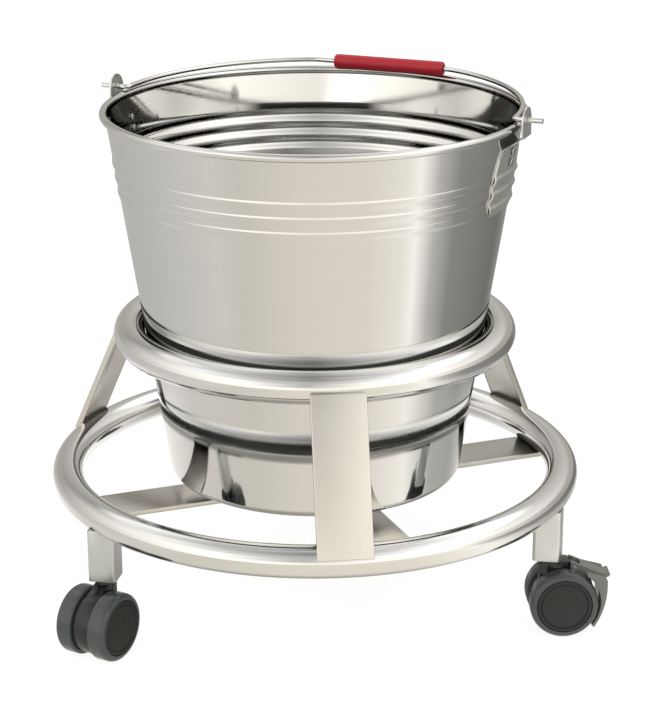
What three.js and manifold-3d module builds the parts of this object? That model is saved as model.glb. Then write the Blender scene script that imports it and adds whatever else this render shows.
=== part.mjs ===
// Surgical kick bucket: a tapered steel pail that hangs in a ringed stand on three swivel casters.
// Millimetres, +Z up. The origin is on the floor, under the pail's axis. The front of the stand faces -Y.
import * as THREE from 'three';
import { mergeVertices } from 'three/addons/utils/BufferGeometryUtils.js';
import Module from 'manifold-3d';

const wasm = await Module();
wasm.setup();

const DEG = Math.PI / 180;
const GAP = 0.3; // left between pieces that touch

// Ring tubes of the stand
const TUBE_R = 12.5;
const UPPER_RING_R = 148;
const UPPER_RING_Z = 226;
const LOWER_RING_R = 200.8;
const LOWER_RING_Z = 109.5;
const RING_STEPS = 40;
const TUBE_SIDES = 12;

// Flat bar stock of the uprights and of the cross under the lower ring
const BAR_WIDTH = 42;
const BAR_THICK = 5;
const UPRIGHT_PROUD = 1.5; // how far an upright's face stands out from the ring tubes
const UPRIGHT_TOP_DROP = 6; // from the upper ring's tangent point down to the upright's top edge
const UPRIGHT_AZIMUTHS = { front: -84, right: 36, left: 156 };
const CROSS_AZIMUTH = 21;
const CROSS_REACH = 196.5;
const CROSS_THICK = 4;
const CROSS_BITE = 1.2; // how far the lower ring's tube sinks into the bars of the cross

// Caster legs, square tube
const LEG_AZIMUTHS = { front_left: -144, front_right: -24, back: 96 };
const LEG_FACE_AZIMUTH = -102;
const LEG_SIDE = 22;
const LEG_WALL = 2;
const LEG_CORNER = 3;
const LEG_BOTTOM_Z = 60.5;
const LEG_TOP_Z = 102.5;
const SOCKET_HEIGHT = 32;

// Casters: twin wheels trail behind the swivel axis
const STEM_R = 5;
const STEM_BOTTOM_Z = 45;
const STEM_TOP_Z = 85;
const TRAIL = 12;
const TRAIL_AZIMUTHS = { front_left: -120, front_right: 2, back: 96 };
const WHEEL_R = 27;
const WHEEL_INNER_Y = 7.8;
const WHEEL_OUTER_Y = 22.8;
const HUB_R = 21.8;
const AXLE_R = 3;
const AXLE_HALF = 18;
const BODY_HALF = 7.3;
const BODY_R = 24.5;
const NECK_R = 7.3;
const WEB_HALF = 5.8;
const WEB_TOP_Z = 57; // shoulder of the web between the neck and the drum
const WEB_HEEL = 4; // the web's reach behind the axle
const WHEEL_STEPS = 24;
const HUB_CHAMFER = 1.6;
const HUB_DISH = 0.4; // the hub's face is lower at its edge than in the middle
const TYRE_EDGE = 1.4;
const TYRE_SHOULDER = [[0, 3.5], [0.8, 1.6], [2.4, 0.5]]; // in from the tread, and in from the hub's face

// Brake pedal on the front right caster, in the caster's own x and z
const PEDAL_PIN = [21, 54.5];
const PEDAL_PIN_R = 1.8;
const PEDAL_HALF = 7.2; // the pedal's plate runs between the wheels
const PEDAL_TOP_Z = 59.3; // at its root; the top slopes down from there
const PEDAL_BEND = [44.5, 47.6]; // where the slope ends, before the lip
const PEDAL_TIP = [49.8, 47];
const PEDAL_LIP = 1.8;
const PEDAL_ELBOW = [46.2, 46]; // where the skirt's back leaves the plate
const PEDAL_CLEAR_R = 26.2; // underside of the plate, round the axle
const SKIRT_HALF = 17; // the skirt stands behind both treads
const SKIRT_INNER_R = 29.6;
const SKIRT_TOE_R = 32.2;
const SKIRT_HIGH = 52;
const SKIRT_LOW = -40;
const SKIRT_LAP = 14; // degrees of the skirt's arc that the plate covers
const SKIRT_BELLY = [47.7, 24]; // draws the skirt's back outwards
const LUG_R = 3.2;
const LUG_HALF = 4;
const LUG_ROOT = 4; // how far the lug starts inside the drum

// Pail
const RIM_Z = 402.5;
const RIM_R = 163.5;
const RIM_BEAD_R = 3.2;
const WALL_TOP_R = 162.4; // outer radius of the wall carried up to the rim's plane
const WALL_SLOPE = 0.155;
const WALL = 1.2;
const BUCKET_DEPTH = 294.5; // rim plane to the outside of the bottom
const BOTTOM_CORNER = 8;
const BEAD_DEPTHS = [37, 48.5, 60];
const BEAD_HALF = 5.2;
const BEAD_PROUD = 1.4;
// Across a bead: share of its half width, share of its rise
const BEAD_SECTION = [[-1, 0], [-0.4, 1], [0.4, 1], [1, 0]];

// Ears and bail
const BAIL_AZIMUTH = -22; // direction of the pivot axis
const PIVOT_RISE = 6; // pivot axis above the rim's plane
const EAR_SHEET = 1.5;
const EAR_TAB_R = 171;
const EAR_BOTTOM = -66;
const EAR_TOP = 16;
const EAR_HALF = 28;
const EAR_TAB_HALF = 11;
const EAR_CORNER = 9;
const EAR_JOG = [-14, -7]; // heights between which the sheet jogs out under the rim
const EAR_SHOULDER = [-10, -6]; // heights where the sheet narrows to its tab
const EAR_SPARE = 2; // left on the sheet outside its outline, cut off
const RIVET_DEPTHS = [18.5, 27]; // under the rim, on the ear's middle line
const RIVET_SHANK_R = 1.6;
const RIVET_HOLE_R = 2;
const RIVET_HEAD_R = 3.2;
const RIVET_TAIL_R = 2.8;
const RIVET_TAIL = 1;
const RIVET_EDGE = 0.8;
const RIVET_DOME = 1.2;
const PUNCH = 60; // depth of the tools that cut ears and rivet holes
const WIRE_R = 2;
const BAIL_R = 161;
const BAIL_TILT = 1.1; // degrees above level when the bail lies back and its grip rests on the rim
const BAIL_CORNER_X = 60;
const BAIL_EASE = 4; // straight length given to each corner's curve
const BEND_R = 4;
const TAIL_END = 184;
const GRIP_R = 6;
const GRIP_BORE_R = 2.5;
const GRIP_HALF = 48;
const GRIP_SHIFT = 7; // the sleeve has slid a little to the right
const GRIP_ROUND = 2;

const finish = (color, roughness, metalness) =>
  new THREE.MeshStandardMaterial({ color, roughness, metalness });
const polishedSteel = finish(0xd8d6d0, 0.15, 1);
const brushedSteel = finish(0xc4c3be, 0.35, 1);
const zincSteel = finish(0xa9abac, 0.4, 1);
const darkNylon = finish(0x1d1e20, 0.45, 0);
const greyRubber = finish(0x5f6664, 0.6, 0);
const darkPlastic = finish(0x2f3132, 0.4, 0);
const redPlastic = finish(0xb41c2d, 0.4, 0);

// One closed body: shared vertices merged, empty triangles dropped, faces turned outwards.
function closedBody(geometry) {
  const bare = geometry.clone();
  for (const name of Object.keys(bare.attributes)) {
    if (name !== 'position') bare.deleteAttribute(name);
  }
  const body = mergeVertices(bare, 1e-3);
  const corner = [new THREE.Vector3(), new THREE.Vector3(), new THREE.Vector3()];
  const triangles = [];
  let volume = 0;
  for (let i = 0; i < body.index.count; i += 3) {
    const ids = [0, 1, 2].map((k) => body.index.getX(i + k));
    if (new Set(ids).size < 3) continue;
    corner.forEach((point, k) => point.fromBufferAttribute(body.attributes.position, ids[k]));
    volume += corner[0].dot(corner[1].clone().cross(corner[2]));
    triangles.push(ids);
  }
  const order = volume < 0 ? triangles.map(([a, b, c]) => [a, c, b]) : triangles;
  body.setIndex(order.flat());
  body.computeVertexNormals();
  return body;
}

function toSolid(geometry) {
  const body = closedBody(geometry);
  const vertProperties = new Float32Array(body.attributes.position.array);
  const triVerts = new Uint32Array(body.index.array);
  return new wasm.Manifold(new wasm.Mesh({ numProp: 3, vertProperties, triVerts }));
}

function toGeometry(solid) {
  const { vertProperties, triVerts } = solid.getMesh();
  const geometry = new THREE.BufferGeometry();
  geometry.setAttribute('position', new THREE.BufferAttribute(new Float32Array(vertProperties), 3));
  geometry.setIndex([...triVerts]);
  return closedBody(geometry);
}

const cut = (body, ...tools) =>
  toGeometry(tools.reduce((left, tool) => left.subtract(toSolid(tool)), toSolid(body)));
const join = (body, ...more) =>
  toGeometry(more.reduce((left, other) => left.add(toSolid(other)), toSolid(body)));
const common = (body, other) => toGeometry(toSolid(body).intersect(toSolid(other)));

// Revolves a profile of [radius, height] points about Z. A profile off the axis is closed on itself.
function revolve(profile, steps) {
  const points = profile.map(([r, z]) => new THREE.Vector2(r, z));
  if (profile[0][0] > 0) points.push(points[0].clone());
  return closedBody(new THREE.LatheGeometry(points, steps).rotateX(Math.PI / 2));
}

// Extrudes an outline drawn in x and z, centred on y = 0.
function plateXZ(shape, half, curveSegments = 8) {
  const plate = new THREE.ExtrudeGeometry(shape, { depth: 2 * half, bevelEnabled: false, curveSegments });
  return plate.translate(0, 0, -half).rotateX(Math.PI / 2);
}

function ringTube(ringR, tubeR, z) {
  return new THREE.TorusGeometry(ringR, tubeR, TUBE_SIDES, RING_STEPS).translate(0, 0, z);
}

function rodZ(radius, low, high, sides = 16) {
  const rod = new THREE.CylinderGeometry(radius, radius, high - low, sides);
  return rod.rotateX(Math.PI / 2).translate(0, 0, (low + high) / 2);
}

function rodY(radius, half, x, z, sides = 16) {
  return new THREE.CylinderGeometry(radius, radius, 2 * half, sides).translate(x, 0, z);
}

function roundedSquare(side, corner) {
  const h = side / 2;
  const shape = new THREE.Shape();
  shape.absarc(h - corner, h - corner, corner, 0, 90 * DEG);
  shape.absarc(corner - h, h - corner, corner, 90 * DEG, 180 * DEG);
  shape.absarc(corner - h, corner - h, corner, 180 * DEG, 270 * DEG);
  shape.absarc(h - corner, corner - h, corner, 270 * DEG, 360 * DEG);
  return shape;
}

// A path made of curves, each walked in its own number of even steps.
class SteppedPath extends THREE.Curve {
  constructor(pieces) {
    super();
    this.pieces = pieces;
    this.steps = pieces.reduce((sum, piece) => sum + piece.steps, 0);
  }

  getPoint(t, target = new THREE.Vector3()) {
    let step = t * this.steps;
    for (const { curve, steps } of this.pieces) {
      if (step <= steps) return target.copy(curve.getPoint(step / steps));
      step -= steps;
    }
    return target.copy(this.pieces.at(-1).curve.getPoint(1));
  }

  getPointAt(u, target) {
    return this.getPoint(u, target);
  }

  getTangentAt(u, target) {
    return this.getTangent(u, target);
  }
}

const kickBucket = new THREE.Group();

function addPiece(parent, name, geometry, material) {
  const mesh = new THREE.Mesh(closedBody(geometry), material);
  mesh.name = name;
  parent.add(mesh);
  return mesh;
}

// Rings
addPiece(kickBucket, 'upper_ring', ringTube(UPPER_RING_R, TUBE_R, UPPER_RING_Z), brushedSteel);
addPiece(kickBucket, 'lower_ring', ringTube(LOWER_RING_R, TUBE_R, LOWER_RING_Z), brushedSteel);
const upperClearance = ringTube(UPPER_RING_R, TUBE_R + GAP, UPPER_RING_Z);
const lowerClearance = ringTube(LOWER_RING_R, TUBE_R + GAP, LOWER_RING_Z);

// Uprights: flat bars laid on the outside of both ring tubes and coped to them
const ringRun = LOWER_RING_R - UPPER_RING_R;
const ringDrop = UPPER_RING_Z - LOWER_RING_Z;
const ringSpan = Math.hypot(ringRun, ringDrop);
const lean = Math.atan2(ringRun, ringDrop);

function upright(azimuth) {
  const length = ringSpan - UPRIGHT_TOP_DROP;
  const middle = UPRIGHT_TOP_DROP + length / 2;
  const outward = TUBE_R + UPRIGHT_PROUD - BAR_THICK / 2;
  const x = UPPER_RING_R + middle * Math.sin(lean) + outward * Math.cos(lean);
  const z = UPPER_RING_Z - middle * Math.cos(lean) + outward * Math.sin(lean);
  const bar = new THREE.BoxGeometry(BAR_THICK, BAR_WIDTH, length);
  bar.rotateY(-lean).translate(x, 0, z).rotateZ(azimuth * DEG);
  return cut(bar, upperClearance, lowerClearance);
}

for (const [place, azimuth] of Object.entries(UPRIGHT_AZIMUTHS)) {
  addPiece(kickBucket, `upright_${place}`, upright(azimuth), brushedSteel);
}

// Cross under the lower ring: one bar right across and an arm from each of its sides, coped to the tube
function crossPiece(from, to, azimuth) {
  const bar = new THREE.BoxGeometry(to - from, BAR_WIDTH, CROSS_THICK);
  const z = LOWER_RING_Z - TUBE_R + CROSS_BITE - CROSS_THICK / 2;
  bar.translate((from + to) / 2, 0, z).rotateZ(azimuth * DEG);
  return cut(bar, lowerClearance);
}

addPiece(kickBucket, 'cross_bar', crossPiece(-CROSS_REACH, CROSS_REACH, CROSS_AZIMUTH), brushedSteel);
const armRoot = BAR_WIDTH / 2 + GAP;
for (const [place, turn] of [['front', -90], ['back', 90]]) {
  const arm = crossPiece(armRoot, CROSS_REACH, CROSS_AZIMUTH + turn);
  addPiece(kickBucket, `cross_arm_${place}`, arm, brushedSteel);
}

// Legs: square tubes coped to the lower ring, with a plastic socket inside for the caster's stem
function legTube(azimuth) {
  const outline = roundedSquare(LEG_SIDE, LEG_CORNER);
  outline.holes.push(roundedSquare(LEG_SIDE - 2 * LEG_WALL, LEG_CORNER - LEG_WALL / 2));
  const tube = new THREE.ExtrudeGeometry(outline, {
    depth: LEG_TOP_Z - LEG_BOTTOM_Z,
    bevelEnabled: false,
    curveSegments: 3,
  });
  tube.rotateZ((LEG_FACE_AZIMUTH - azimuth) * DEG);
  tube.translate(LOWER_RING_R, 0, LEG_BOTTOM_Z).rotateZ(azimuth * DEG);
  return cut(tube, lowerClearance);
}

function legSocket() {
  const side = LEG_SIDE - 2 * LEG_WALL - 4 * GAP;
  const plug = new THREE.BoxGeometry(side, side, SOCKET_HEIGHT).translate(0, 0, SOCKET_HEIGHT / 2);
  return cut(plug, rodZ(STEM_R + GAP, -1, SOCKET_HEIGHT + 1));
}

// Casters, in their own frame: swivel axis on z, floor at z = 0, wheels trailing along +x
const axleZ = WHEEL_R;
const neckTop = LEG_BOTTOM_Z - 2 * GAP;

function casterBody(braked) {
  const drum = rodY(BODY_R, BODY_HALF, TRAIL, axleZ, WHEEL_STEPS);
  const neck = rodZ(NECK_R, axleZ, neckTop);
  const webFront = NECK_R - 1;
  const webShape = new THREE.Shape();
  webShape.moveTo(-webFront, axleZ);
  webShape.lineTo(TRAIL, axleZ);
  webShape.lineTo(TRAIL + WEB_HEEL, axleZ + BODY_R - 1);
  webShape.lineTo(webFront, WEB_TOP_Z);
  webShape.lineTo(-webFront, WEB_TOP_Z);
  const parts = [neck, plateXZ(webShape, WEB_HALF)];
  if (braked) {
    const [pinX, pinZ] = PEDAL_PIN;
    const lugFoot = axleZ + BODY_R - LUG_ROOT;
    const lugShape = new THREE.Shape();
    lugShape.moveTo(0, lugFoot);
    lugShape.lineTo(TRAIL + LUG_ROOT, lugFoot);
    lugShape.lineTo(pinX + LUG_R, pinZ);
    lugShape.absarc(pinX, pinZ, LUG_R, 0, 90 * DEG);
    lugShape.lineTo(0, pinZ + LUG_R);
    parts.push(plateXZ(lugShape, LUG_HALF));
  }
  const holes = [
    rodY(AXLE_R + GAP, 2 * BODY_HALF, TRAIL, axleZ, 12),
    rodZ(STEM_R + GAP, STEM_BOTTOM_Z - GAP, neckTop + 1),
  ];
  if (braked) holes.push(rodY(PEDAL_PIN_R + GAP, 2 * LUG_HALF, ...PEDAL_PIN, 12));
  return cut(join(drum, ...parts), ...holes);
}

// Wheel profiles, in radius and distance from the caster's middle
const hubProfile = [
  [0, AXLE_HALF + GAP],
  [AXLE_R + GAP, AXLE_HALF + GAP],
  [AXLE_R + GAP, WHEEL_INNER_Y],
  [HUB_R, WHEEL_INNER_Y],
  [HUB_R, WHEEL_OUTER_Y - HUB_CHAMFER],
  [HUB_R - HUB_CHAMFER, WHEEL_OUTER_Y - HUB_DISH],
  [0, WHEEL_OUTER_Y],
];
const tyreProfile = [
  [HUB_R + GAP, WHEEL_INNER_Y],
  [WHEEL_R - TYRE_EDGE, WHEEL_INNER_Y],
  [WHEEL_R, WHEEL_INNER_Y + TYRE_EDGE],
  ...TYRE_SHOULDER.map(([inwards, down]) => [WHEEL_R - inwards, WHEEL_OUTER_Y - down]),
  [HUB_R + GAP, WHEEL_OUTER_Y - TYRE_SHOULDER.at(-1)[1]],
];

// A point at a radius and an angle round the axle
const roundAxle = (radius, angle) => [
  TRAIL + radius * Math.cos(angle * DEG),
  axleZ + radius * Math.sin(angle * DEG),
];

// Plate from the pin to the tip, and behind the wheels a skirt that presses on their treads
function brakePedal() {
  const [pinX, pinZ] = PEDAL_PIN;
  const [tipX, tipZ] = PEDAL_TIP;
  const rootX = pinX - LUG_R;
  const rootAngle = Math.acos((rootX - TRAIL) / PEDAL_CLEAR_R);
  const plate = new THREE.Shape();
  plate.absarc(TRAIL, axleZ, PEDAL_CLEAR_R, rootAngle, (SKIRT_HIGH - SKIRT_LAP) * DEG, true);
  plate.lineTo(tipX - PEDAL_LIP, tipZ - PEDAL_LIP);
  plate.lineTo(tipX, tipZ);
  plate.lineTo(tipX - PEDAL_LIP / 2, tipZ + PEDAL_LIP);
  plate.lineTo(...PEDAL_BEND);
  plate.lineTo(rootX, PEDAL_TOP_Z);
  const skirt = new THREE.Shape();
  skirt.absarc(TRAIL, axleZ, SKIRT_INNER_R, SKIRT_HIGH * DEG, SKIRT_LOW * DEG, true);
  skirt.lineTo(...roundAxle(SKIRT_TOE_R, SKIRT_LOW));
  skirt.quadraticCurveTo(...SKIRT_BELLY, ...PEDAL_ELBOW);
  const pedal = join(plateXZ(plate, PEDAL_HALF, 7), plateXZ(skirt, SKIRT_HALF, 9));
  const slotDepth = 4 * LUG_R;
  const slot = new THREE.BoxGeometry(slotDepth, 2 * (LUG_HALF + 2 * GAP), slotDepth);
  slot.translate(pinX + 1.5 * LUG_R - slotDepth / 2, 0, pinZ);
  return cut(pedal, slot, rodY(PEDAL_PIN_R + GAP, 2 * PEDAL_HALF, pinX, pinZ, 12));
}

for (const [place, azimuth] of Object.entries(LEG_AZIMUTHS)) {
  addPiece(kickBucket, `leg_${place}`, legTube(azimuth), brushedSteel);
  const caster = new THREE.Group();
  caster.position.set(LOWER_RING_R * Math.cos(azimuth * DEG), LOWER_RING_R * Math.sin(azimuth * DEG), 0);
  kickBucket.add(caster);
  const socket = addPiece(caster, `leg_socket_${place}`, legSocket(), darkNylon);
  socket.position.z = LEG_BOTTOM_Z;
  socket.rotation.z = LEG_FACE_AZIMUTH * DEG;

  const swivel = new THREE.Group();
  swivel.rotation.z = TRAIL_AZIMUTHS[place] * DEG;
  caster.add(swivel);
  const braked = place === 'front_right';
  addPiece(swivel, `caster_stem_${place}`, rodZ(STEM_R, STEM_BOTTOM_Z, STEM_TOP_Z), zincSteel);
  addPiece(swivel, `caster_body_${place}`, casterBody(braked), darkNylon);
  addPiece(swivel, `caster_axle_${place}`, rodY(AXLE_R, AXLE_HALF, TRAIL, axleZ, 12), zincSteel);
  for (const [side, turn] of [['near', 90], ['far', -90]]) {
    const wheel = new THREE.Group();
    wheel.position.set(TRAIL, 0, axleZ);
    wheel.rotation.x = turn * DEG;
    swivel.add(wheel);
    addPiece(wheel, `wheel_hub_${place}_${side}`, revolve(hubProfile, WHEEL_STEPS), darkPlastic);
    addPiece(wheel, `wheel_tyre_${place}_${side}`, revolve(tyreProfile, WHEEL_STEPS), greyRubber);
  }
  if (braked) {
    addPiece(swivel, 'brake_pedal', brakePedal(), darkNylon);
    addPiece(swivel, 'brake_pin', rodY(PEDAL_PIN_R, PEDAL_HALF, ...PEDAL_PIN, 12), zincSteel);
  }
}

// Pail, in its own frame with the rim's plane at z = 0
const bucket = new THREE.Group();
bucket.position.z = RIM_Z;
kickBucket.add(bucket);
const wallR = (z) => WALL_TOP_R + WALL_SLOPE * z;

// Points of the beaded wall from bottom to top, pushed out by an offset
function beadedWall(low, high, offset) {
  const points = [[wallR(low) + offset, low]];
  for (const depth of [...BEAD_DEPTHS].reverse()) {
    for (const [part, rise] of BEAD_SECTION) {
      const z = -depth + part * BEAD_HALF;
      points.push([wallR(z) + offset + rise * BEAD_PROUD, z]);
    }
  }
  points.push([wallR(high) + offset, high]);
  return points;
}

function arcPoints(x, z, radius, from, to, count) {
  return Array.from({ length: count + 1 }, (_, i) => {
    const angle = (from + ((to - from) * i) / count) * DEG;
    return [x + radius * Math.cos(angle), z + radius * Math.sin(angle)];
  });
}

const wallLean = Math.atan(WALL_SLOPE) / DEG;

function bucketShell() {
  const bottom = -BUCKET_DEPTH;
  const cornerZ = bottom + BOTTOM_CORNER;
  const cornerR = wallR(cornerZ) - BOTTOM_CORNER / Math.cos(wallLean * DEG);
  const innerCorner = BOTTOM_CORNER - WALL;
  const profile = [
    [0, bottom],
    ...arcPoints(cornerR, cornerZ, BOTTOM_CORNER, -90, -wallLean, 4),
    ...beadedWall(cornerZ + BOTTOM_CORNER, -RIM_BEAD_R, 0),
    ...arcPoints(RIM_R, 0, RIM_BEAD_R, -110, 215, 9),
    ...beadedWall(cornerZ + BOTTOM_CORNER, -RIM_BEAD_R, -WALL).reverse(),
    ...arcPoints(cornerR, cornerZ, innerCorner, -wallLean, -90, 4),
    [0, bottom + WALL],
  ];
  return revolve(profile, RING_STEPS);
}

// A rod along the wall's normal, at a rivet's place on the ear at the given azimuth
function atRivet(geometry, azimuth, depth) {
  return geometry.rotateY((90 + wallLean) * DEG).translate(wallR(-depth), 0, -depth).rotateZ(azimuth * DEG);
}

const rivetHole = (azimuth, depth) => atRivet(rodZ(RIVET_HOLE_R, -PUNCH / 8, PUNCH / 8, 8), azimuth, depth);

// Head inside the pail, shank, and domed head outside the ear
const rivetSeat = 2 * GAP;
const rivetHeadAt = 2 * GAP + EAR_SHEET;
const rivetProfile = [
  [0, -WALL - rivetSeat - RIVET_TAIL],
  [RIVET_TAIL_R, -WALL - rivetSeat - RIVET_TAIL],
  [RIVET_TAIL_R, -WALL - rivetSeat],
  [RIVET_SHANK_R, -WALL - rivetSeat],
  [RIVET_SHANK_R, rivetHeadAt],
  [RIVET_HEAD_R, rivetHeadAt],
  [RIVET_HEAD_R - RIVET_EDGE, rivetHeadAt + RIVET_EDGE],
  [0, rivetHeadAt + RIVET_DOME],
];

// Ear: sheet that follows the wall over the beads, jogs out under the rim and stands up as a tab
function ear() {
  const [jogLow, jogHigh] = EAR_JOG;
  const [shoulder, waist] = EAR_SHOULDER;
  const inner = beadedWall(EAR_BOTTOM - EAR_SPARE, jogLow, GAP);
  const outer = beadedWall(EAR_BOTTOM - EAR_SPARE, jogLow - 1, GAP + EAR_SHEET).reverse();
  const tabOuterR = EAR_TAB_R + EAR_SHEET;
  const sheetTop = EAR_TOP + EAR_SPARE;
  const tab = [[EAR_TAB_R, jogHigh], [EAR_TAB_R, sheetTop], [tabOuterR, sheetTop], [tabOuterR, jogHigh - 1]];
  const sheet = revolve([...inner, ...tab, ...outer], 2 * RING_STEPS);
  const side = EAR_HALF - EAR_CORNER;
  const foot = EAR_BOTTOM + EAR_CORNER;
  const outline = new THREE.Shape();
  outline.moveTo(-side, EAR_BOTTOM);
  outline.absarc(side, foot, EAR_CORNER, -90 * DEG, 0);
  outline.quadraticCurveTo(EAR_HALF, shoulder, EAR_TAB_HALF, waist);
  outline.absarc(0, EAR_TOP - EAR_TAB_HALF, EAR_TAB_HALF, 0, 180 * DEG);
  outline.lineTo(-EAR_TAB_HALF, waist);
  outline.quadraticCurveTo(-EAR_HALF, shoulder, -EAR_HALF, foot);
  outline.absarc(-side, foot, EAR_CORNER, 180 * DEG, 270 * DEG);
  const hole = new THREE.Path();
  hole.absarc(0, PIVOT_RISE, WIRE_R + 2 * GAP, 0, 360 * DEG, true);
  outline.holes.push(hole);
  const punch = new THREE.ExtrudeGeometry(outline, { depth: PUNCH, bevelEnabled: false, curveSegments: 5 });
  const outwards = new THREE.Matrix4();
  outwards.makeBasis(new THREE.Vector3(0, 1, 0), new THREE.Vector3(0, 0, 1), new THREE.Vector3(1, 0, 0));
  punch.applyMatrix4(outwards).translate(EAR_TAB_R - 0.8 * PUNCH, 0, 0);
  const holes = RIVET_DEPTHS.map((depth) => rivetHole(0, depth));
  return cut(common(sheet, punch), ...holes);
}

const earAzimuths = { right: BAIL_AZIMUTH, left: BAIL_AZIMUTH + 180 };
const wallHoles = [];
for (const [place, azimuth] of Object.entries(earAzimuths)) {
  const plate = addPiece(bucket, `ear_${place}`, ear(), brushedSteel);
  plate.rotation.z = azimuth * DEG;
  RIVET_DEPTHS.forEach((depth, i) => {
    wallHoles.push(rivetHole(azimuth, depth));
    const rivet = atRivet(revolve(rivetProfile, 8), azimuth, depth);
    addPiece(bucket, `ear_rivet_${place}_${i + 1}`, rivet, zincSteel);
  });
}
addPiece(bucket, 'bucket_shell', cut(bucketShell(), ...wallHoles), polishedSteel);

// Bail: lies back on the rim, its pivot axis along local x
const bail = new THREE.Group();
bail.position.z = PIVOT_RISE;
bail.rotation.order = 'ZXY';
bail.rotation.set(BAIL_TILT * DEG, 0, BAIL_AZIMUTH * DEG);
bucket.add(bail);

const gripY = Math.sqrt(BAIL_R ** 2 - BAIL_CORNER_X ** 2);
const at = (x, y, z = 0) => new THREE.Vector3(x, y, z);

class ArcXY extends THREE.Curve {
  constructor(x, y, radius, from, to) {
    super();
    Object.assign(this, { x, y, radius, from, to });
  }

  getPoint(t, target = new THREE.Vector3()) {
    const angle = (this.from + (this.to - this.from) * t) * DEG;
    return target.set(this.x + this.radius * Math.cos(angle), this.y + this.radius * Math.sin(angle), 0);
  }
}

function bailWire() {
  const bendX = BAIL_R + BEND_R;
  const cornerAngle = Math.acos(BAIL_CORNER_X / BAIL_R) / DEG;
  const arcStart = Math.asin(BEND_R / BAIL_R) / DEG;
  const arcEnd = cornerAngle - 2;
  const line = (from, to) => new THREE.LineCurve3(from, to);
  const side = new ArcXY(0, 0, BAIL_R, arcStart, arcEnd);
  const farSide = new ArcXY(0, 0, BAIL_R, 180 - arcEnd, 180 - arcStart);
  const shoulder = BAIL_CORNER_X - BAIL_EASE;
  const corner = (sign) => at(sign * BAIL_CORNER_X, gripY);
  const bend = (from, middle, to) => new THREE.QuadraticBezierCurve3(from, middle, to);
  const pieces = [
    { curve: line(at(TAIL_END, 0), at(bendX, 0)), steps: 1 },
    { curve: new ArcXY(bendX, BEND_R, BEND_R, 270, 180), steps: 4 },
    { curve: side, steps: 14 },
    { curve: bend(side.getPoint(1), corner(1), at(shoulder, gripY)), steps: 2 },
    { curve: line(at(shoulder, gripY), at(-shoulder, gripY)), steps: 1 },
    { curve: bend(at(-shoulder, gripY), corner(-1), farSide.getPoint(0)), steps: 2 },
    { curve: farSide, steps: 14 },
    { curve: new ArcXY(-bendX, BEND_R, BEND_R, 0, -90), steps: 4 },
    { curve: line(at(-bendX, 0), at(-TAIL_END, 0)), steps: 1 },
  ];
  const path = new SteppedPath(pieces);
  const section = new THREE.Shape();
  section.absarc(0, 0, WIRE_R, 0, 360 * DEG);
  return new THREE.ExtrudeGeometry(section, { extrudePath: path, steps: path.steps, curveSegments: 4 });
}

addPiece(bail, 'bail_wire', bailWire(), polishedSteel);

// Grip: plain sleeve with rounded ends that rolls on the bail's straight middle
const gripProfile = [
  [GRIP_BORE_R, -GRIP_HALF],
  [GRIP_R - GRIP_ROUND, -GRIP_HALF],
  [GRIP_R, -GRIP_HALF + GRIP_ROUND],
  [GRIP_R, GRIP_HALF - GRIP_ROUND],
  [GRIP_R - GRIP_ROUND, GRIP_HALF],
  [GRIP_BORE_R, GRIP_HALF],
];
const grip = addPiece(bail, 'grip', revolve(gripProfile, 16), redPlastic);
grip.rotation.y = 90 * DEG;
grip.position.set(GRIP_SHIFT, gripY, 0);

export default kickBucket;
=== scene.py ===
import math
import bpy
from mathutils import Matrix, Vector


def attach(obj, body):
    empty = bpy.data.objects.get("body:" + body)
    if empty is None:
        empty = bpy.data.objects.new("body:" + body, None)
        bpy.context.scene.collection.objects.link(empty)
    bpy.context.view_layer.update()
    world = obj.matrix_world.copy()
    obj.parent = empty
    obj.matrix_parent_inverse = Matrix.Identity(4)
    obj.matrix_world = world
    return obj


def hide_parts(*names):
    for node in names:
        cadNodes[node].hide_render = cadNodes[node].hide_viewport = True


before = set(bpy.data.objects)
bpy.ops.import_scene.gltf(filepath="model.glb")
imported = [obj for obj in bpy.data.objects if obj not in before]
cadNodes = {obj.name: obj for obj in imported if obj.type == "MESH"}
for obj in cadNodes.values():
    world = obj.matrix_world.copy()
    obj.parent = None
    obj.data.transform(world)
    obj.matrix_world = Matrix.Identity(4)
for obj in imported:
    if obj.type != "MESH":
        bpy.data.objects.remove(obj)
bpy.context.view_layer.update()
deg = math.radians
print("frame loaded,", len(cadNodes), "solids")


# modelling helpers

def clearSelection():
    if bpy.context.object and bpy.context.object.mode != "OBJECT":
        bpy.ops.object.mode_set(mode="OBJECT")
    bpy.ops.object.select_all(action="DESELECT")


def pickOnly(piece):
    clearSelection()
    piece.select_set(True)
    bpy.context.view_layer.objects.active = piece


def editAll(piece):
    pickOnly(piece)
    bpy.ops.object.mode_set(mode="EDIT")
    bpy.ops.mesh.select_mode(type="VERT")
    bpy.ops.mesh.select_all(action="SELECT")


def leaveEdit():
    bpy.ops.object.mode_set(mode="OBJECT")


def selectFaces(piece, wanted):
    # leaves the piece in edit mode with only the wanted faces picked
    editAll(piece)
    bpy.ops.mesh.select_all(action="DESELECT")
    bpy.ops.mesh.select_mode(type="FACE")
    leaveEdit()
    for face in piece.data.polygons:
        face.select = wanted(face)
    bpy.ops.object.mode_set(mode="EDIT")


def selectEdges(piece, wanted):
    editAll(piece)
    bpy.ops.mesh.select_all(action="DESELECT")
    bpy.ops.mesh.select_mode(type="EDGE")
    leaveEdit()
    points = piece.data.vertices
    for edge in piece.data.edges:
        a, b = (points[i].co for i in edge.vertices)
        edge.select = wanted(a, b)
    bpy.ops.object.mode_set(mode="EDIT")


def smooth(piece, angle=32):
    pickOnly(piece)
    bpy.ops.object.shade_smooth_by_angle(angle=deg(angle))


def settle(piece):
    pickOnly(piece)
    bpy.ops.object.transform_apply(location=True, rotation=True, scale=True)


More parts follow.
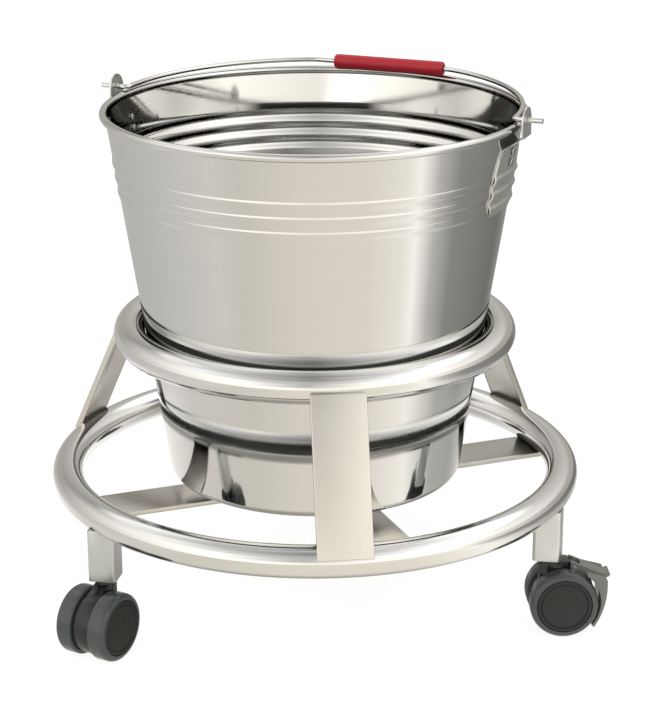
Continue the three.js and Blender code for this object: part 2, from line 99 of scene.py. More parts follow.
def place(piece, at, turn=(0, 0, 0)):
    piece.location = at
    piece.rotation_euler = turn
    settle(piece)


def copyPiece(piece, name):
    pickOnly(piece)
    bpy.ops.object.duplicate(linked=False)
    twin = bpy.context.object
    twin.name = twin.data.name = name
    return twin


def drawLine(name, points):
    # a small plane merged to one point, then extruded point by point into a chain of edges
    clearSelection()
    bpy.ops.mesh.primitive_plane_add(size=0.002, location=(0, 0, 0))
    line = bpy.context.object
    line.name = line.data.name = name
    editAll(line)
    bpy.ops.mesh.merge(type="CENTER")
    bpy.ops.transform.translate(value=points[0])
    for start, end in zip(points, points[1:]):
        step = Vector(end) - Vector(start)
        bpy.ops.mesh.extrude_vertices_move(TRANSFORM_OT_translate={"value": step})
    leaveEdit()
    return line


def spinRound(name, outline, steps):
    # outline is (radius, height) pairs, turned about Z
    piece = drawLine(name, [(r, 0, z) for r, z in outline])
    editAll(piece)
    bpy.ops.mesh.spin(steps=steps, angle=2 * math.pi, center=(0, 0, 0), axis=(0, 0, 1))
    bpy.ops.mesh.select_all(action="SELECT")
    bpy.ops.mesh.remove_doubles(threshold=2e-6)
    bpy.ops.mesh.normals_make_consistent(inside=False)
    leaveEdit()
    return piece


def arc(x, z, radius, fromDeg, toDeg, count):
    turns = [deg(fromDeg + (toDeg - fromDeg) * i / count) for i in range(count + 1)]
    return [(x + radius * math.cos(t), z + radius * math.sin(t)) for t in turns]


def bendPoints(start, towards, end, shares):
    # a soft bend from start to end that leans towards a third point
    a, b, c = Vector(start), Vector(towards), Vector(end)
    return [tuple(a * (1 - t) ** 2 + b * 2 * t * (1 - t) + c * t * t) for t in shares]


def blank(name, size, at, turn):
    # a block of stock at its size and place
    clearSelection()
    bpy.ops.mesh.primitive_cube_add(size=1, location=at, rotation=turn)
    block = bpy.context.object
    block.name = block.data.name = name
    block.scale = size
    settle(block)
    return block


def carve(piece, tool, operation="DIFFERENCE"):
    cut = piece.modifiers.new("carve", "BOOLEAN")
    cut.operation = operation
    cut.solver = "EXACT"
    cut.object = tool
    pickOnly(piece)
    bpy.ops.object.modifier_apply(modifier=cut.name)


def cope(piece, *tubes):
    # cuts the piece to sit against round tubes
    for tube in tubes:
        carve(piece, tube)


def easeEdges(piece, width, segments=3, angle=30):
    ease = piece.modifiers.new("ease", "BEVEL")
    ease.width = width
    ease.segments = segments
    ease.limit_method = "ANGLE"
    ease.angle_limit = deg(angle)
    ease.use_clamp_overlap = True
    pickOnly(piece)
    bpy.ops.object.modifier_apply(modifier=ease.name)


def fromSolid(name, node, width):
    # a merged copy of a solid, its flat faces joined up and its edges eased
    piece = bpy.data.objects.new(name, cadNodes[node].data.copy())
    bpy.context.collection.objects.link(piece)
    editAll(piece)
    bpy.ops.mesh.remove_doubles(threshold=1e-5)
    bpy.ops.mesh.dissolve_limited(angle_limit=deg(1))
    leaveEdit()
    easeEdges(piece, width, segments=2, angle=40)
    return piece


def handOver(piece, body, look, node):
    # the finished piece takes its finish, rides on its body and stands for its solid
    piece.data.materials.clear()
    piece.data.materials.append(look)
    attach(piece, body)
    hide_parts(node)


# materials

def tint(code):
    parts = [int(code[i:i + 2], 16) / 255 for i in (1, 3, 5)]
    return [p / 12.92 if p <= 0.04045 else ((p + 0.055) / 1.055) ** 2.4 for p in parts] + [1]


def addNode(tree, kind, inputs=None, **settings):
    made = tree.nodes.new(kind)
    for key, value in settings.items():
        setattr(made, key, value)
    for socket, value in (inputs or {}).items():
        if isinstance(value, bpy.types.NodeSocket):
            tree.links.new(value, made.inputs[socket])
        else:
            made.inputs[socket].default_value = value
    return made


def newLook(name):
    look = bpy.data.materials.new(name)
    look.use_nodes = True
    tree = look.node_tree
    shader = tree.nodes["Principled BSDF"]
    coords = addNode(tree, "ShaderNodeTexCoord").outputs["Object"]
    return look, tree, shader, coords


def spunLines(tree, coords, lineMm):
    # fine lines that run round the upright axis, as a polishing wheel leaves them
    apart = addNode(tree, "ShaderNodeSeparateXYZ", {"Vector": coords})
    flat = addNode(tree, "ShaderNodeVectorMath", {0: coords, 1: (1, 1, 0)}, operation="MULTIPLY")
    reach = addNode(tree, "ShaderNodeVectorMath", {0: flat.outputs["Vector"]}, operation="LENGTH")
    turn = addNode(tree, "ShaderNodeMath", {0: apart.outputs["Y"], 1: apart.outputs["X"]},
                   operation="ARCTAN2")
    slow = addNode(tree, "ShaderNodeMath", {0: turn.outputs["Value"], 1: lineMm / 1000},
                   operation="MULTIPLY")
    along = addNode(tree, "ShaderNodeCombineXYZ",
                    {"X": reach.outputs["Value"], "Y": slow.outputs["Value"], "Z": apart.outputs["Z"]})
    lines = addNode(tree, "ShaderNodeTexNoise",
                    {"Vector": along.outputs["Vector"], "Scale": 1000 / lineMm, "Detail": 2.0,
                     "Roughness": 0.6})
    return lines.outputs["Fac"]


def beltGrain(tree, coords, grainMm):
    # the even speckle of a belt finish
    grain = addNode(tree, "ShaderNodeTexNoise",
                    {"Vector": coords, "Scale": 1000 / grainMm, "Detail": 2.0, "Roughness": 0.5})
    return grain.outputs["Fac"]


def stainless(name, finish, grainOf):
    # grain tints the steel and dents it a little, clouds of wiping change its gloss
    look, tree, shader, coords = newLook(name)
    grain = grainOf(tree, coords, finish["lineMm"])
    cloud = addNode(tree, "ShaderNodeTexNoise",
                    {"Vector": coords, "Scale": 1000 / finish["cloudMm"], "Detail": 3.0,
                     "Roughness": 0.55})
    low, high = finish["rough"]
    rough = addNode(tree, "ShaderNodeMapRange",
                    {"Value": cloud.outputs["Fac"], "From Min": 0.35, "From Max": 0.7,
                     "To Min": low, "To Max": high})
    tone = addNode(tree, "ShaderNodeMix",
                   {"Factor": grain, "A": tint(finish["tone"]), "B": tint(finish["dull"])},
                   data_type="RGBA")
    bump = addNode(tree, "ShaderNodeBump",
                   {"Height": grain, "Strength": finish["bump"], "Distance": 0.0004})
    tree.links.new(tone.outputs["Result"], shader.inputs["Base Color"])
    tree.links.new(rough.outputs["Result"], shader.inputs["Roughness"])
    tree.links.new(bump.outputs["Normal"], shader.inputs["Normal"])
    shader.inputs["Metallic"].default_value = 1.0
    return look


def zincPlate(finish):
    look, tree, shader, coords = newLook("zinc_plated_steel")
    cloud = addNode(tree, "ShaderNodeTexNoise",
                    {"Vector": coords, "Scale": 1000 / finish["cloudMm"], "Detail": 3.0})
    tone = addNode(tree, "ShaderNodeMix",
                   {"Factor": cloud.outputs["Fac"], "A": tint(finish["tone"]), "B": tint(finish["dull"])},
                   data_type="RGBA")
    low, high = finish["rough"]
    rough = addNode(tree, "ShaderNodeMapRange",
                    {"Value": cloud.outputs["Fac"], "To Min": low, "To Max": high})
    tree.links.new(tone.outputs["Result"], shader.inputs["Base Color"])
    tree.links.new(rough.outputs["Result"], shader.inputs["Roughness"])
    shader.inputs["Metallic"].default_value = 1.0
    return look


def moulded(name, finish):
    # plastic or rubber: an even colour, faintly mottled, with the mould's fine texture
    look, tree, shader, coords = newLook(name)
    mottle = addNode(tree, "ShaderNodeTexNoise",
                     {"Vector": coords, "Scale": 1000 / finish["mottleMm"], "Detail": 4.0,
                      "Roughness": 0.6})
    grain = addNode(tree, "ShaderNodeTexNoise",
                    {"Vector": coords, "Scale": 1000 / finish["grainMm"], "Detail": 2.0})
    colour = addNode(tree, "ShaderNodeMix",
                     {"Factor": mottle.outputs["Fac"], "A": tint(finish["tone"]), "B": tint(finish["worn"])},
                     data_type="RGBA")
    low, high = finish["rough"]
    shine = addNode(tree, "ShaderNodeMapRange",
                    {"Value": mottle.outputs["Fac"], "From Min": 0.3, "From Max": 0.7,
                     "To Min": low, "To Max": high})
    bump = addNode(tree, "ShaderNodeBump",
                   {"Height": grain.outputs["Fac"], "Strength": finish["bump"], "Distance": 0.0003})
    tree.links.new(colour.outputs["Result"], shader.inputs["Base Color"])
    tree.links.new(shine.outputs["Result"], shader.inputs["Roughness"])
    tree.links.new(bump.outputs["Normal"], shader.inputs["Normal"])
    shader.inputs["IOR"].default_value = 1.5
    return look


# real polishing lines and grain are near 0.1 mm; lineMm draws them coarser, so that they show
# the pail is polished on a wheel: near mirror, faint rings, a few duller wiped patches
pailFinish = {"tone": "#dfdfde", "dull": "#d6d6d5", "lineMm": 0.9, "cloudMm": 60,
              "rough": (0.04, 0.08), "bump": 0.01}
# the hoops are brushed along their length and buffed: a softer mirror
hoopFinish = {"tone": "#e6e6e5", "dull": "#dddddc", "lineMm": 0.9, "cloudMm": 40,
              "rough": (0.09, 0.14), "bump": 0.01}
# flat bar is belt finished: soft and warm grey, with a fine even grain
barFinish = {"tone": "#e0ddd6", "dull": "#d5d2cb", "lineMm": 0.8, "cloudMm": 35,
             "rough": (0.3, 0.38), "bump": 0.02}
# the legs are drawn square tube: the same finish, a cooler grey
legFinish = {"tone": "#d9dcdc", "dull": "#ced1d1", "lineMm": 0.8, "cloudMm": 35,
             "rough": (0.3, 0.38), "bump": 0.02}
# the ears are pressed and buffed: soft and pale, so that their beads stand out light over dark
earFinish = {"tone": "#e2e2e0", "dull": "#d6d6d4", "lineMm": 0.8, "cloudMm": 30,
             "rough": (0.34, 0.42), "bump": 0.01}
# pins and rivets are zinc plated: greyish, slightly cloudy
zincFinish = {"tone": "#b9bbbd", "dull": "#989b9d", "cloudMm": 2.5, "rough": (0.25, 0.45)}

# a mould's texture is near 0.1 mm; grainMm draws it coarser, so that it shows
# the forks are black nylon: almost black, with crisp highlights
forkFinish = {"tone": "#17181a", "worn": "#202224", "mottleMm": 18.2, "rough": (0.18, 0.28),
              "grainMm": 0.5, "bump": 0.04}
# the tyres are grey rubber, rolled smooth: dark, a little green, with a clear sheen
tyreFinish = {"tone": "#3b3f3e", "worn": "#454a49", "mottleMm": 18.2, "rough": (0.14, 0.24),
              "grainMm": 0.7, "bump": 0.04}
# the wheels' discs are polypropylene: near black and dull
discFinish = {"tone": "#0d0e0e", "worn": "#121414", "mottleMm": 18.2, "rough": (0.42, 0.54),
              "grainMm": 0.5, "bump": 0.05}
# the brake's lever is grey nylon: paler than the fork, smooth and shiny
leverFinish = {"tone": "#6a6964", "worn": "#75746e", "mottleMm": 18.2, "rough": (0.12, 0.2),
               "grainMm": 0.5, "bump": 0.03}
# the grip is a polyethylene sleeve: strong red with a waxy half gloss
gripFinish = {"tone": "#b41c2d", "worn": "#a81827", "mottleMm": 18.2, "rough": (0.32, 0.45),
              "grainMm": 0.9, "bump": 0.08}

steel = stainless("polished_stainless_steel", pailFinish, spunLines)
ringSteel = stainless("brushed_stainless_tube", hoopFinish, spunLines)
barSteel = stainless("satin_stainless_bar", barFinish, beltGrain)
legSteel = stainless("satin_stainless_tube", legFinish, beltGrain)
earSteel = stainless("buffed_stainless_sheet", earFinish, beltGrain)
zinc = zincPlate(zincFinish)
nylon = moulded("black_nylon", forkFinish)
tread = moulded("grey_rubber", tyreFinish)
disc = moulded("dark_grey_polypropylene", discFinish)
lever = moulded("grey_nylon", leverFinish)
redGrip = moulded("red_polyethylene", gripFinish)
print("materials made")


# pail: one spun shell with a rolled rim and three swages under it

pail = {"rimZ": 0.4025, "rimR": 0.1635, "curlR": 0.0032, "curlTurn": (-112, 216), "wallTopR": 0.1624,
        "slope": 0.155, "wall": 0.0012, "depth": 0.2945, "corner": 0.008, "steps": 192,
        "swages": (0.060, 0.0485, 0.037), "swageHalf": 0.0052, "swageIn": 0.0014, "swageOut": 0.001,
        # where the outline has points: out along the base, up the wall, over a swage and under the rim
        "baseStops": (0, 0.04, 0.09), "baseEdge": 0.004, "swagePoints": 8,
        "wallStops": (0.0, 0.004, 0.03, 0.07, 0.11, 0.15, 0.18), "neckStops": (-0.026, -0.012, -0.006)}


def wallR(z):
    return pail["wallTopR"] + pail["slope"] * z


def swage(z, rise):
    # how far a swage pushes the wall out at this height
    part = min(abs(z + depth) for depth in pail["swages"]) / pail["swageHalf"]
    return rise * math.cos(min(part, 1) * math.pi / 2) ** 2


def wallPoints(low, offset, rise):
    # up the wall from low to just under the rim, over the swages
    heights = [low + stop for stop in pail["wallStops"]]
    count = pail["swagePoints"]
    for depth in pail["swages"]:
        heights += [-depth + pail["swageHalf"] * i / count for i in range(-count, count + 1)]
    heights += [*pail["neckStops"], -pail["curlR"]]
    return [(wallR(z) + swage(z, rise) + offset, z) for z in heights]


def makePail():
    bottom = -pail["depth"]
    lean = math.degrees(math.atan(pail["slope"]))
    cornerZ = bottom + pail["corner"]
    cornerR = wallR(cornerZ) - pail["corner"] / math.cos(deg(lean))
    wall = pail["wall"]
    baseR = [*pail["baseStops"], cornerR - pail["baseEdge"]]
    outline = [(r, bottom) for r in baseR]
    outline += arc(cornerR, cornerZ, pail["corner"], -90, -lean, 8)
    outline += wallPoints(cornerZ + pail["corner"], 0, pail["swageOut"])
    outline += arc(pail["rimR"], 0, pail["curlR"], *pail["curlTurn"], 26)
    outline += wallPoints(cornerZ + pail["corner"], -wall, pail["swageIn"])[::-1]
    outline += arc(cornerR, cornerZ, pail["corner"] - wall, -lean, -90, 8)
    outline += [(r, bottom + wall) for r in baseR[::-1]]
    shell = spinRound("pail_shell", outline, pail["steps"])
    place(shell, (0, 0, pail["rimZ"]))
    smooth(shell, 40)
    return shell


pailShell = makePail()
handOver(pailShell, "bucket", steel, "bucket_shell")
print("pail spun")


# ring tubes of the stand

rings = {"tube": 0.0125, "upperR": 0.148, "upperZ": 0.226, "lowerR": 0.2008, "lowerZ": 0.1095,
         "steps": 160, "sectionSteps": 32}


def makeRing(name, radius, height):
    section = arc(radius, height, rings["tube"], 0, 360, rings["sectionSteps"])
    ring = spinRound(name, section, rings["steps"])
    smooth(ring, 40)
    return ring


upperRing = makeRing("upper_hoop", rings["upperR"], rings["upperZ"])
lowerRing = makeRing("lower_hoop", rings["lowerR"], rings["lowerZ"])
handOver(upperRing, "stand", ringSteel, "upper_ring")
handOver(lowerRing, "stand", ringSteel, "lower_ring")
print("hoops spun")


# uprights and the cross under the lower hoop: flat bar

flatBar = {"width": 0.042, "thick": 0.005, "proud": 0.0015, "topDrop": 0.006, "edge": 0.0008,
           "uprights": {"front": -84, "right": 36, "left": 156}}
cross = {"thick": 0.004, "bite": 0.0012, "reach": 0.1965, "azimuth": 21, "gap": 0.0003}


def makeUpright(side, azimuth):
    run = rings["lowerR"] - rings["upperR"]
    drop = rings["upperZ"] - rings["lowerZ"]
    lean = math.atan2(run, drop)
    length = math.hypot(run, drop) - flatBar["topDrop"]
    middle = flatBar["topDrop"] + length / 2
    outward = rings["tube"] + flatBar["proud"] - flatBar["thick"] / 2
    r = rings["upperR"] + middle * math.sin(lean) + outward * math.cos(lean)
    z = rings["upperZ"] - middle * math.cos(lean) + outward * math.sin(lean)
    at = (r * math.cos(deg(azimuth)), r * math.sin(deg(azimuth)), z)
    bar = blank("upright_bar_" + side, (flatBar["thick"], flatBar["width"], length), at,
                (0, -lean, deg(azimuth)))
    easeEdges(bar, flatBar["edge"])
    cope(bar, upperRing, lowerRing)
    smooth(bar)
    return bar


for side, azimuth in flatBar["uprights"].items():
    handOver(makeUpright(side, azimuth), "stand", barSteel, "upright_" + side)


def makeCrossBar(name, start, end, azimuth):
    z = rings["lowerZ"] - rings["tube"] + cross["bite"] - cross["thick"] / 2
    middle, turn = (start + end) / 2, deg(azimuth)
    bar = blank(name, (end - start, flatBar["width"], cross["thick"]),
                (middle * math.cos(turn), middle * math.sin(turn), z), (0, 0, turn))
    easeEdges(bar, flatBar["edge"])
    cope(bar, lowerRing)
    smooth(bar)
    return bar


longBar = makeCrossBar("cross_bar_long", -cross["reach"], cross["reach"], cross["azimuth"])
handOver(longBar, "stand", barSteel, "cross_bar")
armRoot = flatBar["width"] / 2 + cross["gap"]
for side, turn in (("front", -90), ("back", 90)):
    arm = makeCrossBar("cross_bar_" + side, armRoot, cross["reach"], cross["azimuth"] + turn)
    handOver(arm, "stand", barSteel, "cross_arm_" + side)
print("flat bars cut")


# legs: short square tubes under the lower hoop

leg = {"side": 0.022, "round": 0.003, "roundSteps": 6, "edge": 0.0006, "wall": 0.002, "boreShare": 0.75,
       "bottom": 0.0605, "top": 0.1025, "face": -102,
       "azimuths": {"front_left": -144, "front_right": -24, "back": 96}}


def legSpot(spot):
    azimuth = deg(leg["azimuths"][spot])
    return Vector((rings["lowerR"] * math.cos(azimuth), rings["lowerR"] * math.sin(azimuth), 0))


def makeLeg(spot):
    height = leg["top"] - leg["bottom"]
    at = legSpot(spot) + Vector((0, 0, leg["bottom"] + height / 2))
    tube = blank("leg_tube_" + spot, (leg["side"], leg["side"], height), at, (0, 0, deg(leg["face"])))
    selectEdges(tube, lambda a, b: abs(a.z - b.z) > height / 2)
    bpy.ops.mesh.bevel(offset=leg["round"], segments=leg["roundSteps"], affect="EDGES")
    leaveEdit()
    selectFaces(tube, lambda face: face.normal.z < -0.9)
    bpy.ops.mesh.inset(thickness=leg["wall"], depth=0)
    bpy.ops.mesh.extrude_region_move(TRANSFORM_OT_translate={"value": (0, 0, height * leg["boreShare"])})
    leaveEdit()
    easeEdges(tube, leg["edge"], 2)
    cope(tube, lowerRing)
    smooth(tube)
    return tube


for spot in leg["azimuths"]:
    handOver(makeLeg(spot), "stand", legSteel, "leg_" + spot)
print("legs cut")


# casters: twin wheels that trail behind the swivel, each modelled once and copied

caster = {"trail": 0.012, "wheelR": 0.027, "hubR": 0.0218, "inner": 0.0078, "outer": 0.0228,
          "axleR": 0.0033, "forkEdge": 0.0006, "leverEdge": 0.0009, "steps": 96,
          "azimuths": {"front_left": -120, "front_right": 2, "back": 96}}
tyreShape = {"clear": 0.0003, "setBack": 0.0005, "land": 0.002, "innerRound": 0.0016, "outerRound": 0.0042,
             "treadFrom": 0.004, "treadTo": 0.0055}
# the disc's face as (radius, how far it is sunk), dished and with one groove
hubShape = {"face": ((0, 0), (0.004, 0.00005), (0.0138, 0.0004), (0.0177, 0.0007), (0.0182, 0.0012),
                     (0.0188, 0.0012), (0.0193, 0.0005)),
            "round": 0.0012, "roundSunk": 0.0016, "boreEnd": 0.0183}


def makeTyre():
    bore, r = caster["hubR"] + tyreShape["clear"], caster["wheelR"]
    inner, outer = caster["inner"], caster["outer"] - tyreShape["setBack"]
    small, large = tyreShape["innerRound"], tyreShape["outerRound"]
    outline = [(bore, inner), (bore + tyreShape["land"], inner)]
    outline += arc(r - small, inner + small, small, -90, 0, 5)
    outline += [(r, inner + tyreShape["treadFrom"]), (r, outer - tyreShape["treadTo"])]
    outline += arc(r - large, outer - large, large, 0, 90, 9)
    outline += [(bore, outer), (bore, inner)]
    return spinRound("tyre_pattern", outline, caster["steps"])


def makeHub():
    r, inner, outer, bore = caster["hubR"], caster["inner"], caster["outer"], caster["axleR"]
    ease, boreEnd = hubShape["round"], hubShape["boreEnd"]
    outline = [(reach, outer - sunk) for reach, sunk in hubShape["face"]]
    outline += arc(r - ease, outer - hubShape["roundSunk"], ease, 85, 0, 5)
    outline += [(r, inner), (bore, inner), (bore, boreEnd), (0, boreEnd)]
    return spinRound("hub_pattern", outline, caster["steps"])


tyrePattern = makeTyre()
hubPattern = makeHub()
wheelParts = ((tyrePattern, "tyre", tread, "grey_tread"), (hubPattern, "hub", disc, "dark_disc"))
for spot, azimuth in caster["azimuths"].items():
    turn = deg(azimuth)
    trail = Vector((caster["trail"] * math.cos(turn), caster["trail"] * math.sin(turn), caster["wheelR"]))
    axle = legSpot(spot) + trail
    for side, flip in (("near", 90), ("far", -90)):
        body = "wheel_" + spot + "_" + side
        for pattern, part, look, slot in wheelParts:
            wheelPart = copyPiece(pattern, part + "_" + spot + "_" + side)
            place(wheelPart, axle, (deg(flip), 0, turn))
            smooth(wheelPart, 40)
            handOver(wheelPart, body, look, "wheel_" + part + "_" + spot + "_" + side)
    fork = fromSolid("caster_fork_" + spot, "caster_body_" + spot, caster["forkEdge"])
    smooth(fork)
    handOver(fork, "caster_" + spot, nylon, "caster_body_" + spot)
for pattern in (tyrePattern, hubPattern):
    bpy.data.objects.remove(pattern)

pedal = fromSolid("brake_lever", "brake_pedal", caster["leverEdge"])
smooth(pedal)
handOver(pedal, "brake", lever, "brake_pedal")
print("casters made")


# ears: sheet that follows the wall over the swages, jogs out under the rim and stands up as a tab

ear = {"sheet": 0.0013, "gap": 0.0001, "beadRise": 0.0015, "half": 0.028, "tabHalf": 0.011,
       "bottom": -0.066, "top": 0.016, "tabR": 0.171, "jog": (-0.014, -0.007), "shoulder": (-0.010, -0.006),
       "corner": 0.009, "pivotRise": 0.006, "holeR": 0.0026, "drillRun": 0.03,
       "spare": 0.002, "rowStep": 0.001, "rows": 54,   # the sheet before it is punched out
       "punchFrom": 0.13, "punchRun": 0.06, "earAt": {"right": -22, "left": 158}}


def earSheet():
    low = ear["bottom"] - ear["spare"]
    heights = [low + ear["rowStep"] * i for i in range(ear["rows"])] + [ear["jog"][0]]
    side = [(wallR(z) + swage(z, ear["beadRise"]) + ear["gap"], z) for z in heights]
    side += [(ear["tabR"], ear["jog"][1]), (ear["tabR"], 0.0), (ear["tabR"], ear["top"] + ear["spare"])]
    back = [(r + ear["sheet"], z) for r, z in side[::-1]]
    return spinRound("ear_sheet", side + back + side[:1], pail["steps"])


def earPunch():
    # the ear's outline, seen from outside, run through the sheet
    half, tab, low = ear["half"], ear["tabHalf"], ear["bottom"]
    shoulder, waist = ear["shoulder"]
    right = arc(half - ear["corner"], low + ear["corner"], ear["corner"], -90, 0, 8)
    right += bendPoints(right[-1], (half, shoulder), (tab, waist), (0.25, 0.5, 0.7, 0.85, 1))
    right += arc(0, ear["top"] - tab, tab, 0, 90, 10)
    outline = right + [(-y, z) for y, z in right[-2::-1]]
    punch = drawLine("ear_punch", [(ear["punchFrom"], y, z) for y, z in outline])
    editAll(punch)
    bpy.ops.mesh.edge_face_add()
    bpy.ops.mesh.extrude_region_move(TRANSFORM_OT_translate={"value": (ear["punchRun"], 0, 0)})
    bpy.ops.mesh.select_all(action="SELECT")
    bpy.ops.mesh.normals_make_consistent(inside=False)
    leaveEdit()
    return punch


def makeEar():
    sheet, punch = earSheet(), earPunch()
    clearSelection()
    bpy.ops.mesh.primitive_cylinder_add(vertices=32, radius=ear["holeR"], depth=ear["drillRun"],
                                        location=(ear["tabR"], 0, ear["pivotRise"]),
                                        rotation=(0, deg(90), 0))
    drill = bpy.context.object
    settle(drill)
    carve(sheet, drill)
    carve(sheet, punch, "INTERSECT")
    for tool in (punch, drill):
        bpy.data.objects.remove(tool)
    return sheet


earPattern = makeEar()
for side, azimuth in ear["earAt"].items():
    earPlate = copyPiece(earPattern, "ear_plate_" + side)
    place(earPlate, (0, 0, pail["rimZ"]), (0, 0, deg(azimuth)))
    smooth(earPlate, 30)
    handOver(earPlate, "bucket", earSteel, "ear_" + side)
bpy.data.objects.remove(earPattern)
print("ears pressed")


# rivets through the ears

rivet = {"depths": (0.0185, 0.027), "shankR": 0.0016, "headR": 0.0032, "tailR": 0.0028, "dome": 0.001,
         "headAt": 0.0021, "brim": 0.0003, "tailAt": (-0.0028, -0.0024, -0.0018), "tailEase": 0.0008,
         "steps": 32}


def makeRivet():
    shank, head, tail, dome = rivet["shankR"], rivet["headR"], rivet["tailR"], rivet["dome"]
    end, bend, seat = rivet["tailAt"]
    out, brim = rivet["headAt"], rivet["headAt"] + rivet["brim"]
    outline = [(0, end), (tail - rivet["tailEase"], end), (tail, bend), (tail, seat), (shank, seat),
               (shank, out), (head, out), (head, brim)]
    outline += [(head * math.cos(deg(t)), brim + dome * math.sin(deg(t))) for t in (25, 45, 65, 80)]
    outline += [(0, brim + dome)]
    return spinRound("rivet_pattern", outline, rivet["steps"])


rivetPattern = makeRivet()
wallLean = math.atan(pail["slope"])
for side, azimuth in ear["earAt"].items():
    around = deg(azimuth)
    for i, depth in enumerate(rivet["depths"], 1):
        r = wallR(-depth)
        head = copyPiece(rivetPattern, "rivet_" + side + "_" + str(i))
        at = (r * math.cos(around), r * math.sin(around), pail["rimZ"] - depth)
        place(head, at, (0, deg(90) + wallLean, around))
        smooth(head, 40)
        handOver(head, "bucket", zinc, "ear_rivet_" + side + "_" + str(i))
bpy.data.objects.remove(rivetPattern)
print("ears riveted")


# bail and grip

bail = {"azimuth": -22, "tilt": 1.1, "pivotZ": 0.4085, "wireR": 0.002, "bowR": 0.161, "cornerX": 0.060,
        "bendR": 0.004, "tail": 0.184, "tailRun": 0.006, "cornerTurn": 2, "cornerRun": 0.004,
        "straightX": 0.02}
grip = {"radius": 0.006, "bore": 0.0025, "half": 0.048, "shift": 0.007, "round": 0.002, "mouth": 0.0004,
        "endRun": 0.012, "steps": 48}


def bailPath():
    # half of the bow in its own plane, from the tail to the middle
    bow, bend, corner = bail["bowR"], bail["bendR"], bail["cornerX"]
    middleY = math.sqrt(bow ** 2 - corner ** 2)
    start = math.degrees(math.asin(bend / bow))
    end = math.degrees(math.acos(corner / bow)) - bail["cornerTurn"]
    path = [(bail["tail"], 0), (bow + bend + bail["tailRun"], 0)]
    path += arc(bow + bend, bend, bend, 270, 180, 8)
    path += arc(0, 0, bow, start, end, 40)[1:]
    straight = (corner - bail["cornerRun"], middleY)
    path += bendPoints(path[-1], (corner, middleY), straight, (0.25, 0.5, 0.75, 1))
    return path + [(bail["straightX"], middleY)], middleY


def makeBail():
    half, middleY = bailPath()
    path = [(x, y, 0) for x, y in half] + [(-x, y, 0) for x, y in half[::-1]]
    wire = drawLine("bail_bow", path)
    pickOnly(wire)
    bpy.ops.object.convert(target="CURVE")
    wire = bpy.context.object
    wire.data.bevel_depth = bail["wireR"]
    wire.data.bevel_resolution = 5
    wire.data.use_fill_caps = True
    bpy.ops.object.convert(target="MESH")
    wire = bpy.context.object
    editAll(wire)
    bpy.ops.mesh.remove_doubles(threshold=1e-6)
    bpy.ops.mesh.normals_make_consistent(inside=False)
    leaveEdit()
    place(wire, (0, 0, 0), (deg(bail["tilt"]), 0, 0))
    place(wire, (0, 0, bail["pivotZ"]), (0, 0, deg(bail["azimuth"])))
    smooth(wire, 50)
    return wire, middleY


def makeGrip(middleY):
    r, half, bore, ease = grip["radius"], grip["half"], grip["bore"], grip["round"]
    mouth, run = half - grip["mouth"], half - grip["endRun"]
    outline = [(bore, -mouth)]
    outline += arc(r - ease, -half + ease, ease, -90, 0, 6)
    outline += [(r, -run), (r, 0), (r, run)]
    outline += arc(r - ease, half - ease, ease, 0, 90, 6)
    outline += [(bore, mouth), (bore, -mouth)]
    sleeve = spinRound("red_sleeve", outline, grip["steps"])
    place(sleeve, (grip["shift"], middleY, 0), (0, deg(90), 0))
    place(sleeve, (0, 0, 0), (deg(bail["tilt"]), 0, 0))
    place(sleeve, (0, 0, bail["pivotZ"]), (0, 0, deg(bail["azimuth"])))
    smooth(sleeve, 40)
    return sleeve


bailBow, bowMiddle = makeBail()
handOver(bailBow, "bail", steel, "bail_wire")
handOver(makeGrip(bowMiddle), "grip", redGrip, "grip")
print("bail and grip made")


# the small hidden solids stay as they are, with their finishes
hiddenLooks = {"leg_socket": nylon, "caster_stem": zinc, "caster_axle": zinc, "brake_pin": zinc}
for name, node in cadNodes.items():
    for start, look in hiddenLooks.items():
        if name.startswith(start):
            node.data.materials.clear()
            node.data.materials.append(look)


# floor, light and camera

